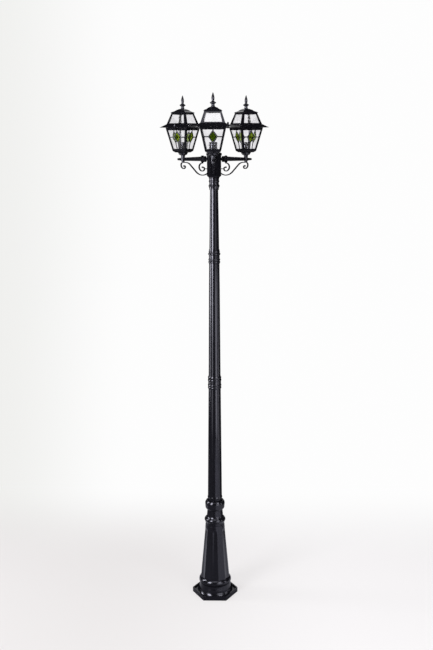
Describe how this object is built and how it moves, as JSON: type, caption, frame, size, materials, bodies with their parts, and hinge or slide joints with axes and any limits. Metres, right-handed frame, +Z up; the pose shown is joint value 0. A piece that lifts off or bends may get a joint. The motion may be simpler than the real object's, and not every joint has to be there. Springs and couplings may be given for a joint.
{
  "type": "triple head lamp post",
  "caption": "Tall black garden lamp post on a fluted hexagonal base, with square leaded-glass lanterns on scrolled arms under hinged roofs.",
  "frame": {"origin": "centre of the circle of anchor holes, on the underside of the base", "axes": "+Z up the post; -Y towards the front arm; +X to the right seen from the front"},
  "size_m": [0.5836, 0.5054, 2.8],
  "materials": {
    "black_paint": "semi-gloss black paint on cast aluminium and aluminium tube",
    "clear_glass": "clear glass with a fine water-like ripple",
    "green_glass": "leaf-green cathedral glass",
    "lead_came": "dark patinated lead came",
    "porcelain": "dark glazed ceramic",
    "brass": "drawn brass",
    "plain_steel": "zinc-plated steel",
    "screw_steel": "blackened steel"
  },
  "bodies": {
    "post": {"arm_screws": "screw_steel", "base_casting": "black_paint", "base_collar": "black_paint", "front_arm": "black_paint", "front_body_frame": "black_paint", "front_body_panes": "clear_glass", "front_bracket": "black_paint", "front_cup": "black_paint", "front_green_diamonds": "green_glass", "front_lamp_contacts": "brass", "front_lampholder": "porcelain", "front_lead_cames": "lead_came", "head_socket": "black_paint", "hinge_pins": "plain_steel", "hub": "black_paint", "hub_cap": "black_paint", "lantern_stems": "plain_steel", "left_arm": "black_paint", "left_body_frame": "black_paint", "left_body_panes": "clear_glass", "left_bracket": "black_paint", "left_cup": "black_paint", "left_green_diamonds": "green_glass", "left_lamp_contacts": "brass", "left_lampholder": "porcelain", "left_lead_cames": "lead_came", "lower_coupling": "black_paint", "lower_joiner": "plain_steel", "lower_pole": "black_paint", "middle_pole": "black_paint", "post_grub_screws": "screw_steel", "right_arm": "black_paint", "right_body_frame": "black_paint", "right_body_panes": "clear_glass", "right_bracket": "black_paint", "right_cup": "black_paint", "right_green_diamonds": "green_glass", "right_lamp_contacts": "brass", "right_lampholder": "porcelain", "right_lead_cames": "lead_came", "stem_nuts": "screw_steel", "upper_coupling": "black_paint", "upper_joiner": "plain_steel", "upper_pole": "black_paint"},
    "front_roof": {"front_roof_frame": "black_paint", "front_roof_panes": "clear_glass", "front_roof_cap": "black_paint", "front_finial": "black_paint", "front_thumb_screw": "black_paint"},
    "left_roof": {"left_roof_frame": "black_paint", "left_roof_panes": "clear_glass", "left_roof_cap": "black_paint", "left_finial": "black_paint", "left_thumb_screw": "black_paint"},
    "right_roof": {"right_roof_frame": "black_paint", "right_roof_panes": "clear_glass", "right_roof_cap": "black_paint", "right_finial": "black_paint", "right_thumb_screw": "black_paint"}
  },
  "joints": [
    {"name": "front_roof_hinge", "type": "hinge", "parent": "post", "child": "front_roof", "pos_m": [-0.0696, -0.195, 2.629], "axis": [0, -1, 0], "range_deg": [0, 115]},
    {"name": "left_roof_hinge", "type": "hinge", "parent": "post", "child": "left_roof", "pos_m": [-0.13407, 0.15777, 2.629], "axis": [-0.866, 0.5, 0], "range_deg": [0, 115]},
    {"name": "right_roof_hinge", "type": "hinge", "parent": "post", "child": "right_roof", "pos_m": [0.20367, 0.03723, 2.629], "axis": [0.866, 0.5, 0], "range_deg": [0, 115]}
  ]
}
